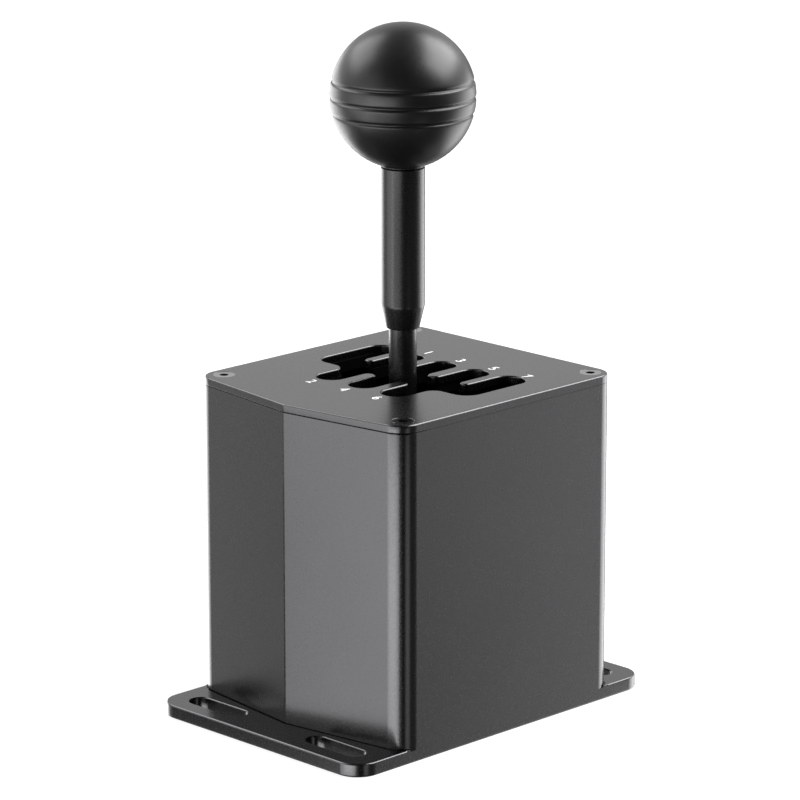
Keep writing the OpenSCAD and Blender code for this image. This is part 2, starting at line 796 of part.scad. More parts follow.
// Rocker on the front trunnion that presses on the centring springs
module centring_rocker() color(dark_metal) {
    difference() {
        slab_y(-rocker_out, -rocker_in) {
            circle(rocker_hub_r);
            square([2 * rocker_end - rocker_h, rocker_h], center = true);
            for (s = sides) translate([s * (rocker_end - rocker_h / 2), 0]) circle(rocker_h / 2);
        }
        along_y(-rocker_out - cut, -rocker_in + cut, trunnion_r + seated);
        translate([0, -rocker_mid, pivot_h]) cylinder(h = 2 * rocker_hub_r, r = stand_screw_d / 2 + running);
    }
    for (s = sides) translate([s * spring_x, -rocker_mid, spring_high - spigot_len])
        cylinder(h = spigot_len + root, r = spigot_r);
}

module rocker_screw() color(steel) translate([0, -rocker_mid, pivot_h + trunnion_r + seated])
    grub_screw(stand_screw_d, rocker_screw_len);

// Bracket that carries the detent plunger over the sector
module detent_bracket() color(black_metal) difference() {
    arm_x = sector_mid + plunger_r + arm_rim;
    union() {
        translate([-cradle_x, -bracket_y, cradle_top])
            cube([cradle_wall, 2 * bracket_y, bracket_t]);
        translate([-cradle_x, -bracket_y, cradle_top])
            cube([bracket_t, 2 * bracket_y, arm_top - cradle_top]);
        translate([-arm_x, -bracket_y + arm_in, arm_low])
            cube([arm_x - cradle_x + bracket_t, 2 * (bracket_y - arm_in), arm_t]);
    }
    translate([-sector_mid, 0, arm_low - cut]) cylinder(h = arm_t + 2 * cut, r = plunger_r + seated);
    for (s = sides) translate([-bracket_screw_x, s * bracket_screw_y, cradle_top - cut])
        cylinder(h = bracket_t + 2 * cut, r = small_screw_d / 2 + running);
}

module bracket_screws() color(steel)
    for (s = sides) translate([-bracket_screw_x, s * bracket_screw_y, cradle_top + bracket_t])
        cap_screw(small_screw_d, bracket_t + bracket_grip);

// Spring plunger: sleeve, lock nut, spring and ball
module plunger_sleeve() color(steel) translate([-sector_mid, 0, 0]) difference() {
    translate([0, 0, plunger_low]) cylinder(h = plunger_top - plunger_low, r = plunger_r);
    translate([0, 0, plunger_low - cut])
        cylinder(h = plunger_top - plunger_cap - plunger_low + cut, r = ball_r + ball_room / 2);
    translate([0, 0, plunger_top - plunger_cap / 2]) cylinder(h = plunger_cap, r = ball_r * plunger_hex, $fn = 6);
}

module plunger_nut() color(steel) translate([-sector_mid, 0, arm_top])
    hex_nut(2 * plunger_r + plunger_nut_rim, plunger_nut_h, plunger_r + seated);

module detent_spring() color(steel) translate([-sector_mid, 0, 0])
    coil_spring(ball_d - detent_wire - detent_room, detent_wire, detent_turns,
        ball_z + ball_r, plunger_top - plunger_cap);

module detent_ball() color(steel) translate([-sector_mid, 0, ball_z]) sphere(ball_r);

// Ball knob with three grooves
module knob() color(black_metal) difference() {
    union() {
        translate([0, 0, knob_h]) sphere(knob_r);
        translate([0, 0, neck_z]) cylinder(h = knob_h - neck_z, r = sleeve_r);
    }
    for (i = [-1 : 1]) {
        groove_z = i * groove_pitch - groove_drop;
        rotate_extrude() translate([sqrt(knob_r * knob_r - groove_z * groove_z), knob_h + groove_z])
            circle(groove_w / 2, $fn = 32);
    }
    translate([0, 0, neck_z - cut]) cylinder(h = insert_top - neck_z + cut, r = insert_r + seated);
}

module knob_insert() color(bronze) difference() {
    translate([0, 0, neck_z + edge_break]) cylinder(h = insert_top - neck_z - edge_break, r = insert_r);
    translate([0, 0, neck_z - cut]) cylinder(h = insert_top, r = rod_r + seated);
}

// Sleeve under the knob, with a tapered foot
module lever_sleeve() color(black_metal) rotate_extrude() polygon([
    [rod_r + seated, sleeve_z], [rod_r + edge_break, sleeve_z], [rod_r + 2 * edge_break, sleeve_z + edge_break],
    [sleeve_r, sleeve_z + edge_break + sleeve_taper],
    [sleeve_r, sleeve_top - edge_break], [sleeve_r - edge_break, sleeve_top], [rod_r + seated, sleeve_top]
]);

module lever_rod() color(black_metal) rotate_extrude() polygon([
    [0, rod_foot], [rod_r - edge_break, rod_foot], [rod_r, rod_foot + edge_break],
    [rod_r, insert_top - 2 * edge_break], [rod_r - edge_break, insert_top - edge_break], [0, insert_top - edge_break]
]);

module lock_nut() color(steel) translate([0, 0, hub_top]) hex_nut(rod_d * nut_ratio, nut_h, rod_r + seated);

// Hub of the lever: a barrel on the cross pin, a boss for the rod and a tail
module lever_hub() color(dark_metal) difference() {
    union() {
        along_x(-hub_x, hub_x, hub_r);
        translate([0, 0, pivot_h]) cylinder(h = hub_top - pivot_h, r = hub_boss_r);
        translate([0, 0, hub_tail]) cylinder(h = pivot_h - hub_tail, r = holder_r);
    }
    translate([0, 0, rod_foot]) cylinder(h = hub_top, r = rod_r + seated);
    along_x(-hub_x - cut, hub_x + cut, pin_r + seated);
    along_y(-hub_r - cut, 0, stand_screw_d / 2 + running);
}

module hub_screw() color(steel)
    translate([0, -pin_r - seated, pivot_h]) rotate([90, 0, 0]) grub_screw(stand_screw_d, hub_screw_len);

module cross_pin() color(steel) {
    right = cradle_x + end_play + circlip_t + circlip_edge;
    along_x(-sector_out - edge_break, right - edge_break, pin_r);
    along_x(right - 2 * edge_break, right, pin_r - edge_break);
}

module pin_circlip() color(black_metal) difference() {
    along_x(cradle_x + end_play, cradle_x + end_play + circlip_t, pin_r + circlip_rim);
    along_x(cradle_x, cradle_x + stand_t, pin_r + seated);
}

// Fan on the end of the cross pin, with a notch for each end of the throw
module detent_sector() color(steel) difference() {
    reach = 2 * sector_r;
    union() {
        intersection() {
            along_x(-sector_out, -sector_in, sector_r);
            slab_x(-sector_out - cut, -sector_in + cut) polygon([
                [0, -sector_boss_r / 2], [reach * sin(sector_half_angle), reach * cos(sector_half_angle)],
                [-reach * sin(sector_half_angle), reach * cos(sector_half_angle)]
            ]);
        }
        along_x(-sector_out, -cradle_x - end_play, sector_boss_r);
    }
    along_x(-sector_out - cut, 0, pin_r + seated);
    for (s = sides) slab_x(-sector_out - cut, -sector_in + cut)
        rotate(s * shift_angle) translate([0, sector_r + notch_r - notch_depth]) circle(notch_r);
}

// Holder under the hub's tail, with the magnet that the sensor reads
module magnet_holder() color(black_metal) difference() {
    translate([0, 0, holder_low]) cylinder(h = hub_tail - holder_low, r = holder_r);
    translate([0, 0, holder_low - cut]) cylinder(h = magnet_h + cut, r = magnet_r + seated);
}

module tail_magnet() color(steel) translate([0, 0, holder_low]) cylinder(h = magnet_h, r = magnet_r);

housing();
top_cover();
gate_liner();
cover_screws();
liner_screws();
bottom_plate();
bottom_screws();
front_stand();
rear_stand();
stand_screws();
trunnion_bushes();
spring_posts();
centring_spring_left();
centring_spring_right();
sensor_board();
sensor_standoffs();
sensor_chip();
sensor_screws();
control_board();
control_chip();
control_screws();
board_connectors();
usb_socket();
ribbon_cable();
cradle();
front_trunnion();
rear_trunnion();
rear_circlip();
cross_bushes();
centring_rocker();
rocker_screw();
detent_bracket();
bracket_screws();
plunger_sleeve();
plunger_nut();
detent_spring();
detent_ball();
knob();
knob_insert();
lever_sleeve();
lever_rod();
lock_nut();
lever_hub();
hub_screw();
cross_pin();
pin_circlip();
detent_sector();
magnet_holder();
tail_magnet();
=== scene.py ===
"""The finished looks of an H-pattern gear shifter for a driving simulator, laid out as an add-on."""

import math

import bpy
from bpy.props import FloatProperty, FloatVectorProperty, IntProperty, PointerProperty
from bpy.types import Operator, Panel, PropertyGroup
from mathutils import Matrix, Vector


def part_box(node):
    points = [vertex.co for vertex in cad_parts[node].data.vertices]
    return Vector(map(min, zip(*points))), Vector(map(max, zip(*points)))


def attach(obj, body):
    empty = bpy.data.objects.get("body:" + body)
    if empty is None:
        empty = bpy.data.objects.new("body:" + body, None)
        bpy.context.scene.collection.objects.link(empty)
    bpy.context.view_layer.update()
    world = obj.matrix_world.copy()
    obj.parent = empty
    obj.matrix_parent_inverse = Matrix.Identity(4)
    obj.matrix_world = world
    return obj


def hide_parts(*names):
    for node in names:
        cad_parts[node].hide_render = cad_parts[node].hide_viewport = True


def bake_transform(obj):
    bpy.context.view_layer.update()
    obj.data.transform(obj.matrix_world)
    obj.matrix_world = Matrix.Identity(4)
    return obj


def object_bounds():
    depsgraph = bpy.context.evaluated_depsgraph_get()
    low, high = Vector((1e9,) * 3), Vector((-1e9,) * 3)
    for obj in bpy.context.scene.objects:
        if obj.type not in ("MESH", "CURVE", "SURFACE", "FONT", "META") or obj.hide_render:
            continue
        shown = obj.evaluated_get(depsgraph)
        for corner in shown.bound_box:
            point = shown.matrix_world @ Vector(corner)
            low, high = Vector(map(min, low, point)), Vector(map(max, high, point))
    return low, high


bl_info = {
    "name": "H-pattern gear shifter",
    "version": (1, 0, 0),
    "blender": (4, 5, 0),
    "location": "3D View > Sidebar > Shifter",
    "description": "Models the visible pieces and finishes of a gear shifter on its frame",
    "category": "Object",
}

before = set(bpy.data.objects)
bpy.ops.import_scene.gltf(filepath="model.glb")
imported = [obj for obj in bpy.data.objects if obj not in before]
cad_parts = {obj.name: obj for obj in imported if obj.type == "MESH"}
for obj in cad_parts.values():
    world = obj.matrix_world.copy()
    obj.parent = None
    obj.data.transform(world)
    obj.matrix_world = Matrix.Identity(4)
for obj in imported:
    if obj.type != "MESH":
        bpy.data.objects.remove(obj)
cad_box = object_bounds()
mm = 0.001
white = (1.0, 1.0, 1.0, 1.0)

# How close points are to be one point, to lie on a face, and to lie by the body's outline
weld = 0.002 * mm
near = 0.02 * mm
margin = 3 * mm

# Places that the frame gives
housing_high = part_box("housing")[1]
cover_low, cover_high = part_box("top_cover")
knob_low, knob_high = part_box("knob")
sleeve_low, sleeve_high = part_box("lever_sleeve")
rod_low, rod_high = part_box("lever_rod")
socket_low, socket_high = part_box("usb_socket")
screws_low, screws_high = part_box("cover_screws")

# Radius of a cover screw's head, and the places of the four screws that follow from it
screw_head = 4 * mm
screw_x = screws_high.x - screw_head
screw_ys = (screws_low.y + screw_head, screws_high.y - screw_head)


def linear(hex_colour):
    """Turns an sRGB hex value into a linear colour with full alpha."""
    shares = [int(hex_colour[i:i + 2], 16) / 255 for i in (1, 3, 5)]
    return tuple(c / 12.92 if c <= 0.04045 else ((c + 0.055) / 1.055) ** 2.4 for c in shares) + (1.0,)


def shade(base, share):
    """A linear colour made darker or lighter by a share, no lighter than white, with full alpha."""
    return tuple(min(1.0, c * share) for c in base[:3]) + (1.0,)


def colour(name, description, hex_colour):
    """A colour that the panel shows."""
    return FloatVectorProperty(
        name=name, description=description, default=linear(hex_colour),
        subtype="COLOR", size=4, min=0, max=1,
    )


def length(name, description, size):
    """A length that the panel shows, given in millimetres."""
    return FloatProperty(
        name=name, description=description, default=size * mm, min=0, unit="LENGTH", precision=5,
    )


class ShifterSizes(PropertyGroup):
    """Sizes of the modelled pieces: edge rounds, slots, grooves, taper and marks."""

    edge_round: length("Edge round", "Radius on the outer edges of the base", 0.7)
    slot_round: length("Slot round", "Radius on the edges of the mounting slots", 0.5)
    fold_round: length("Fold round", "Radius on the fold of the front", 0.5)
    cover_round: length("Cover round", "Radius on the top edge of the cover", 0.7)
    gate_round: length("Gate round", "Radius on the top edge of the gate", 0.6)
    seam_round: length("Seam round", "Radius on the edges that meet at the cover's seam", 0.45)
    fold_out: length("Fold", "How far the fold of the front stands out beyond its corners", 7.2)
    body_corner: length("Body corner", "Radius of the body's upright corners", 8.0)
    base_thickness: length("Base thickness", "Thickness of the base flange", 5.0)
    base_corner: length("Base corner", "Radius of the flange's corners", 9.0)
    slot_x: length("Slot place", "Distance from the middle to a mounting slot, sideways", 30.3)
    slot_y: length("Slot row", "Distance from the middle to a row of mounting slots", 63.6)
    slot_width: length("Slot width", "Width of a mounting slot", 8.0)
    slot_length: length("Slot length", "Length of a mounting slot", 27.0)
    gate_reach: length("Gate reach", "Distance from neutral to beyond the ends of the gate", 28.0)
    groove_pitch: length("Groove pitch", "Distance between the knob's grooves", 5.9)
    groove_drop: length("Groove drop", "How far the middle groove sits below the knob's centre", 0.4)
    groove_width: length("Groove width", "Width of the hollow of a groove in the knob", 1.2)
    groove_lip: length("Groove lip", "Radius on the lips of a groove", 1.0)
    neck_fillet: length("Neck fillet", "Radius where the knob meets its neck", 0.2)
    neck_edge: length("Neck edge", "Radius on the lower edge of the neck", 0.15)
    neck_step: length("Neck step", "How far the neck stands back from the sleeve", 0.3)
    taper: length("Taper", "Length of the tapered foot of the sleeve", 8.0)
    foot_step: length("Foot step", "How far the sleeve's foot stands out from the rod", 1.0)
    number_height: length("Number height", "Height of the gear numbers", 4.2)
    number_thickness: length("Number thickness", "Thickness of the ink of the gear numbers", 0.05)
    column_pitch: length("Column pitch", "Distance between neighbouring gate columns", 16.5)
    numbers_front: length("Front numbers", "Distance from neutral to the row of even gears", 29.8)
    numbers_rear: length("Rear numbers", "Distance from neutral to the row of odd gears", 29.35)
    numbers_aside: length("Numbers aside", "How far the numbers stand to the right of their columns", 0.5)
    steps: IntProperty(name="Lathe steps", description="Steps round a turned piece", default=128, min=32)


class ShifterColours(PropertyGroup):
    """Colours of the outer finishes and of the floor."""

    housing: colour("Housing", "Grey of the anodised housing, cover and base", "#505051")
    knob: colour("Knob", "Black of the knob", "#090909")
    lever: colour("Lever", "Black of the sleeve and the rod", "#0a0a0b")
    ink: colour("Ink", "White of the gear numbers", "#f4f4f2")
    screws: colour("Screws", "Grey of the plated screws", "#909192")
    floor: colour("Floor", "Colour of the floor", "#f2f2f2")


class ShifterStage(PropertyGroup):
    """The camera's place, lens and aim."""

    azimuth: FloatProperty(
        name="Azimuth", description="Camera's turn from the front to the right",
        default=math.radians(44.999), subtype="ANGLE",
    )
    elevation: FloatProperty(
        name="Elevation", description="Camera's height above the horizon",
        default=math.radians(14.702), subtype="ANGLE",
    )
    distance: length("Distance", "Distance from the camera to its aim", 1560.07)
    lens: FloatProperty(
        name="Lens", description="Focal length on a 36 mm sensor, in mm", default=195.609, min=1,
    )
    aim: FloatVectorProperty(
        name="Aim", description="Point that the camera looks at",
        default=(-0.835 * mm, -0.607 * mm, 112.896 * mm), subtype="TRANSLATION", unit="LENGTH",
    )


def toward(azimuth, elevation):
    """Unit vector from the object towards an azimuth, counted from the front to the right, in degrees."""
    a, e = math.radians(azimuth), math.radians(elevation)
    return Vector((math.sin(a) * math.cos(e), -math.cos(a) * math.cos(e), math.sin(e)))


# Modelling by hand

def deselect():
    """Leaves edit mode and selects nothing."""
    if bpy.context.object and bpy.context.object.mode != "OBJECT":
        bpy.ops.object.mode_set(mode="OBJECT")
    bpy.ops.object.select_all(action="DESELECT")


def activate(piece):
    """Makes a piece the only selected one."""
    deselect()
    piece.select_set(True)
    bpy.context.view_layer.objects.active = piece


def edit(piece):
    """Opens a piece in edit mode with all of it selected."""
    activate(piece)
    bpy.context.tool_settings.mesh_select_mode = (True, False, False)
    bpy.ops.object.mode_set(mode="EDIT")
    bpy.ops.mesh.select_all(action="SELECT")


def edit_faces(piece, wanted):
    """Opens a piece in edit mode with the faces selected that pass the test."""
    activate(piece)
    bpy.context.tool_settings.mesh_select_mode = (False, False, True)
    bpy.ops.object.mode_set(mode="EDIT")
    bpy.ops.mesh.select_all(action="DESELECT")
    bpy.ops.object.mode_set(mode="OBJECT")
    for face in piece.data.polygons:
        face.select = wanted(face)
    bpy.ops.object.mode_set(mode="EDIT")


def settle():
    """Takes the place, turn and size of what is selected into its mesh, so that it sits at the origin."""
    bpy.ops.object.transform_apply(location=True, rotation=True, scale=True)


def join(name, pieces):
    """Joins pieces into one."""
    activate(pieces[0])
    for piece in pieces:
        piece.select_set(True)
    bpy.ops.object.join()
    whole = bpy.context.object
    whole.name = name
    return whole


def cad_copy(node, name, across_x, across_y):
    """A copy of a node, with its triangles merged into whole faces.

    Planes across X and Y divide the faces at holes, so that no face surrounds one, and where a round ends.
    """
    flat = math.radians(0.2)
    piece = bpy.data.objects.new(name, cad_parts[node].data.copy())
    bpy.context.collection.objects.link(piece)
    activate(piece)
    bpy.ops.mesh.customdata_custom_splitnormals_clear()
    edit(piece)
    bpy.ops.mesh.remove_doubles(threshold=weld)
    cuts = [((x, 0, 0), (1, 0, 0)) for x in across_x] + [((0, y, 0), (0, 1, 0)) for y in across_y]
    for point, normal in cuts:
        bpy.ops.mesh.select_all(action="SELECT")
        bpy.ops.mesh.bisect(plane_co=point, plane_no=normal)
        bpy.ops.mesh.mark_seam()
    bpy.ops.mesh.select_all(action="SELECT")
    bpy.ops.mesh.dissolve_limited(angle_limit=flat, delimit={"SEAM"})
    bpy.ops.object.mode_set(mode="OBJECT")
    return piece


def round_edges(piece, wanted, radius, segments=3, sharper_than=20):
    """Rounds the edges sharper than an angle, in degrees, whose two ends both pass the test."""
    activate(piece)
    bpy.context.tool_settings.mesh_select_mode = (False, True, False)
    bpy.ops.object.mode_set(mode="EDIT")
    bpy.ops.mesh.select_all(action="DESELECT")
    bpy.ops.mesh.edges_select_sharp(sharpness=math.radians(sharper_than))
    bpy.ops.object.mode_set(mode="OBJECT")
    mesh = piece.data
    passed = [wanted(v.co) for v in mesh.vertices]
    for edge in mesh.edges:
        edge.select = edge.select and all(passed[i] for i in edge.vertices)
    mesh.vertices.foreach_set("select", [False] * len(mesh.vertices))
    mesh.polygons.foreach_set("select", [False] * len(mesh.polygons))
    bpy.ops.object.mode_set(mode="EDIT")
    bpy.ops.mesh.bevel(offset=radius, segments=segments, profile=0.5, affect="EDGES", clamp_overlap=False)
    bpy.ops.object.mode_set(mode="OBJECT")


def smooth(piece, angle=35, weighted=True):
    """Smooth shading up to an angle, with flat faces kept flat beside rounded edges."""
    activate(piece)
    bpy.ops.object.shade_smooth_by_angle(angle=math.radians(angle))
    if weighted:
        bpy.ops.object.modifier_add(type="WEIGHTED_NORMAL")
        piece.modifiers[-1].keep_sharp = True
        bpy.ops.object.modifier_apply(modifier=piece.modifiers[-1].name)


def arc(centre, radius, start, end, steps):
    """Points of an arc in a profile of radius and height; angles are in degrees from straight out."""
    turns = [math.radians(start + (end - start) * i / steps) for i in range(steps + 1)]
    return [(centre[0] + radius * math.cos(a), centre[1] + radius * math.sin(a)) for a in turns]


def lathe(name, profile, steps):
    """Turns a profile of (radius, height) points about the upright axis."""
    deselect()
    bpy.ops.mesh.primitive_plane_add(size=mm)
    piece = bpy.context.object
    piece.name = name
    edit(piece)
    bpy.ops.mesh.merge(type="CENTER")
    radius, height = profile[0]
    bpy.ops.transform.translate(value=(radius, 0, height))
    for (r0, z0), (r1, z1) in zip(profile, profile[1:]):
        bpy.ops.mesh.extrude_region_move(TRANSFORM_OT_translate={"value": (r1 - r0, 0, z1 - z0)})
    bpy.ops.mesh.select_all(action="SELECT")
    bpy.ops.mesh.spin(steps=steps, angle=math.tau, center=(0, 0, 0), axis=(0, 0, 1))
    bpy.ops.mesh.select_all(action="SELECT")
    bpy.ops.mesh.remove_doubles(threshold=weld)
    bpy.ops.mesh.normals_make_consistent(inside=False)
    bpy.ops.object.mode_set(mode="OBJECT")
    return piece


def box_piece(name, low, high, edge=0.0):
    """A block between two corners, with its edges rounded where a radius is given."""
    deselect()
    bpy.ops.mesh.primitive_cube_add(size=1, location=(low + high) / 2, scale=high - low)
    piece = bpy.context.object
    piece.name = name
    settle()
    if edge:
        round_edges(piece, lambda co: True, edge, segments=2)
    return piece


def finish(piece, body, material, slot, *nodes):
    """Gives a modelled piece its material and nodes, and its body unless it bends between two; the slot is
    not used.
    """
    piece.data.materials.clear()
    piece.data.materials.append(material)
    if body:
        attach(piece, body)
    if nodes:
        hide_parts(*nodes)


def dress(material, *nodes):
    """Gives CAD nodes a material."""
    for name in nodes:
        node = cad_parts[name]
        if not node.material_slots:
            node.data.materials.append(material)
        for slot in node.material_slots:
            slot.material = material


# Materials

def per_metre(size):
    """Scale of a pattern whose features are this many millimetres apart."""
    return 1 / (size * mm)


def add_node(tree, kind, inputs, **settings):
    """Adds a node, sets it up, and sets or links its inputs."""
    node = tree.nodes.new(kind)
    for name, value in settings.items():
        setattr(node, name, value)
    for name, value in inputs.items():
        if isinstance(value, bpy.types.NodeSocket):
            tree.links.new(value, node.inputs[name])
        else:
            node.inputs[name].default_value = value
    return node


def empty_tree(owner):
    """The node tree of a material or a world, with nothing in it."""
    owner.use_nodes = True
    owner.node_tree.nodes.clear()
    return owner.node_tree


def new_material(name, base, metallic, roughness):
    """A material with its shader's constants set, and the object coordinates for its patterns."""
    material = bpy.data.materials.new(name)
    material.use_nodes = True
    tree = material.node_tree
    shader = tree.nodes["Principled BSDF"]
    shader.inputs["Base Color"].default_value = base
    shader.inputs["Metallic"].default_value = metallic
    shader.inputs["Roughness"].default_value = roughness
    place = add_node(tree, "ShaderNodeTexCoord", {}).outputs["Object"]
    return material, tree, shader, place


def grain(tree, shader, place, size, height, spread):
    """A fine grain: a bump of this size and height in millimetres, and a roughness that varies with it."""
    roughness = shader.inputs["Roughness"].default_value
    noise = add_node(
        tree, "ShaderNodeTexNoise", {"Vector": place, "Scale": per_metre(size), "Detail": 2.0}
    ).outputs["Fac"]
    bump = add_node(tree, "ShaderNodeBump", {"Height": noise, "Strength": 1.0, "Distance": height * mm})
    tree.links.new(bump.outputs["Normal"], shader.inputs["Normal"])
    # Most of the noise lies between 0.3 and 0.7
    vary = add_node(
        tree, "ShaderNodeMapRange",
        {"Value": noise, "From Min": 0.3, "From Max": 0.7,
         "To Min": roughness - spread, "To Max": roughness + spread},
    )
    tree.links.new(vary.outputs["Result"], shader.inputs["Roughness"])


def cloudy(tree, shader, place, base, size, share):
    """A faint change of tone over a large size in millimetres, as handling and a dye bath leave."""
    noise = add_node(
        tree, "ShaderNodeTexNoise", {"Vector": place, "Scale": per_metre(size), "Detail": 3.0}
    ).outputs["Fac"]
    tone = add_node(
        tree, "ShaderNodeMix", {"Factor": noise, "A": shade(base, 1 - share), "B": shade(base, 1 + share)},
        data_type="RGBA",
    )
    tree.links.new(tone.outputs["Result"], shader.inputs["Base Color"])


def blasted_anodised(base):
    """Aluminium, bead blasted and anodised dark grey: a satin sheen with a fine even grain.

    The pits that the beads leave are about 0.1 mm across, and are drawn coarser so that they show.
    """
    material, tree, shader, place = new_material("blasted_anodised_aluminium", base, 1.0, 0.25)
    grain(tree, shader, place, size=0.7, height=0.004, spread=0.03)
    cloudy(tree, shader, place, base, size=30, share=0.05)
    return material


def satin_knob(base):
    """Aluminium ball with a soft black coat: a broad highlight and a fine pebble."""
    material, tree, shader, place = new_material("satin_black_coat", base, 0.0, 0.36)
    grain(tree, shader, place, size=0.45, height=0.012, spread=0.04)
    return material


def black_lever(base):
    """Steel, turned and blackened: smoother than the knob, with a tighter highlight."""
    material, tree, shader, place = new_material("blackened_steel", base, 0.0, 0.28)
    grain(tree, shader, place, size=0.35, height=0.003, spread=0.03)
    return material


def bright_metal(name, base, roughness):
    """Metal, ground or plated: bright, with fine marks of its making."""
    material, tree, shader, place = new_material(name, base, 1.0, roughness)
    grain(tree, shader, place, size=0.3, height=0.003, spread=0.05)
    return material


def cast_metal(name, base, roughness):
    """Metal as cast and machined: a soft grain and a cloudy tone."""
    material, tree, shader, place = new_material(name, base, 1.0, roughness)
    grain(tree, shader, place, size=0.6, height=0.01, spread=0.06)
    cloudy(tree, shader, place, base, size=12, share=0.12)
    return material


def moulded(name, base, roughness):
    """Plastic as moulded: an even colour with a fine spark-eroded texture."""
    material, tree, shader, place = new_material(name, base, 0.0, roughness)
    grain(tree, shader, place, size=0.5, height=0.01, spread=0.05)
    return material


def shade_black_liner(base):
    """Acetal sheet in black, made darker and less glossy than black plastic as painted shade, so that the
    gate shows as a plain dark opening.
    """
    material, tree, shader, place = new_material("black_liner_painted_shade", base, 0.0, 0.9)
    grain(tree, shader, place, size=0.5, height=0.01, spread=0.05)
    # Gloss cut almost to nothing: painted shade inside the gate
    shader.inputs["Specular IOR Level"].default_value = 0.03
    return material


def printed_ink(base):
    """Screen-printed ink: matt white, a little uneven where the mesh laid it."""
    material, tree, shader, place = new_material("white_ink", base, 0.0, 0.6)
    grain(tree, shader, place, size=0.3, height=0.004, spread=0.08)
    cloudy(tree, shader, place, base, size=1.5, share=0.04)
    return material


def circuit_board(base):
    """Glass-fibre board under green solder mask: glossy, with copper tracks that show through."""
    material, tree, shader, place = new_material("circuit_board", base, 0.0, 0.35)
    track_spacing, track_share, track = 6.0, 0.06, linear("#3f7a52")
    tracks = add_node(
        tree, "ShaderNodeTexBrick",
        {"Vector": place, "Scale": per_metre(track_spacing), "Mortar Size": track_share,
         "Color1": base, "Color2": shade(base, 0.8), "Mortar": track},
    )
    tree.links.new(tracks.outputs["Color"], shader.inputs["Base Color"])
    return material


def ribbon(base):
    """Flat cable in grey PVC: soft, with a rib for each wire."""
    material, tree, shader, place = new_material("ribbon_cable_pvc", base, 0.0, 0.5)
    wire_pitch, rib_height = 1.27, 0.2
    # At scale 1 the bands of a wave are tau / 20 apart
    ribs = add_node(
        tree, "ShaderNodeTexWave", {"Vector": place, "Scale": per_metre(wire_pitch) * math.tau / 20},
        bands_direction="X",
    ).outputs["Fac"]
    bump = add_node(tree, "ShaderNodeBump", {"Height": ribs, "Strength": 1.0, "Distance": rib_height * mm})
    tree.links.new(bump.outputs["Normal"], shader.inputs["Normal"])
    return material


# Stage

# Soft boxes: name, azimuth and elevation in degrees, distance, width and height in metres, radiance
soft_boxes = (
    ("front_box", -29.5, -14, 1.6, 0.83, 1.4, 1.6),
    ("front_strip", 10.5, -9, 1.6, 1.46, 1.0, 3.7),
    ("rear_box", 150, 46, 1.8, 2.1, 1.2, 8.0),
    ("rear_low_box", 169, -18, 1.8, 1.4, 1.75, 3.2),
    ("left_box", -74, 44, 1.8, 1.6, 1.0, 4.2),
    ("left_low_box", -98, -11, 1.8, 1.36, 1.3, 3.2),
)

# Cards on the studio's walls, which the flat faces and the knob reflect:
# name, azimuth, elevation and half the angle that it spans in degrees, distance in metres, tone
wall_cards = (
    ("side_card", 68, 20, 58, 2.5, 0.02),
    ("right_card", 105, -18, 27, 2.45, 0.1),
    ("left_card", -66, -15, 16, 2.5, 0.66),
    ("back_card", 205, -8, 20, 2.5, 0.3),
    ("sky_card", 228, 24, 24, 2.55, 0.82),
    ("top_card", 0, 90, 52, 2.6, 0.14),
    ("low_card", 0, -90, 53, 2.7, 0.1),
)

# Boards that stand close, which the lever, an upright corner and the base reflect:
# name, azimuth in degrees, distance, width, and heights of the lower and the upper edge in metres, tone
close_boards = (
    ("lever_board", 9.5, 0.4, 0.207, 0.035, 0.12, 0.37),
    ("lever_shade", 34, 0.4, 0.14, 0.035, 0.12, 0.03),
    ("corner_board", 74.4, 0.408, 0.111, -0.16, 0.03, 0.9),
    ("base_board", -41, 0.6, 0.2, -0.26, -0.03, 0.02),
)


def soft_box(name, azimuth, elevation, distance, width, height, radiance):
    """An area light that faces the object, with its brightness given for its surface."""
    deselect()
    place = toward(azimuth, elevation) * distance + Vector((0, 0, (cad_box[0].z + cad_box[1].z) / 2))
    bpy.ops.object.light_add(type="AREA", location=place)
    light = bpy.context.object
    light.name = name
    light.rotation_euler = (math.radians(90 - elevation), 0, math.radians(azimuth))
    light.data.shape = "RECTANGLE"
    light.data.size = width
    light.data.size_y = height
    light.data.energy = radiance * math.pi * width * height
    light.visible_camera = False


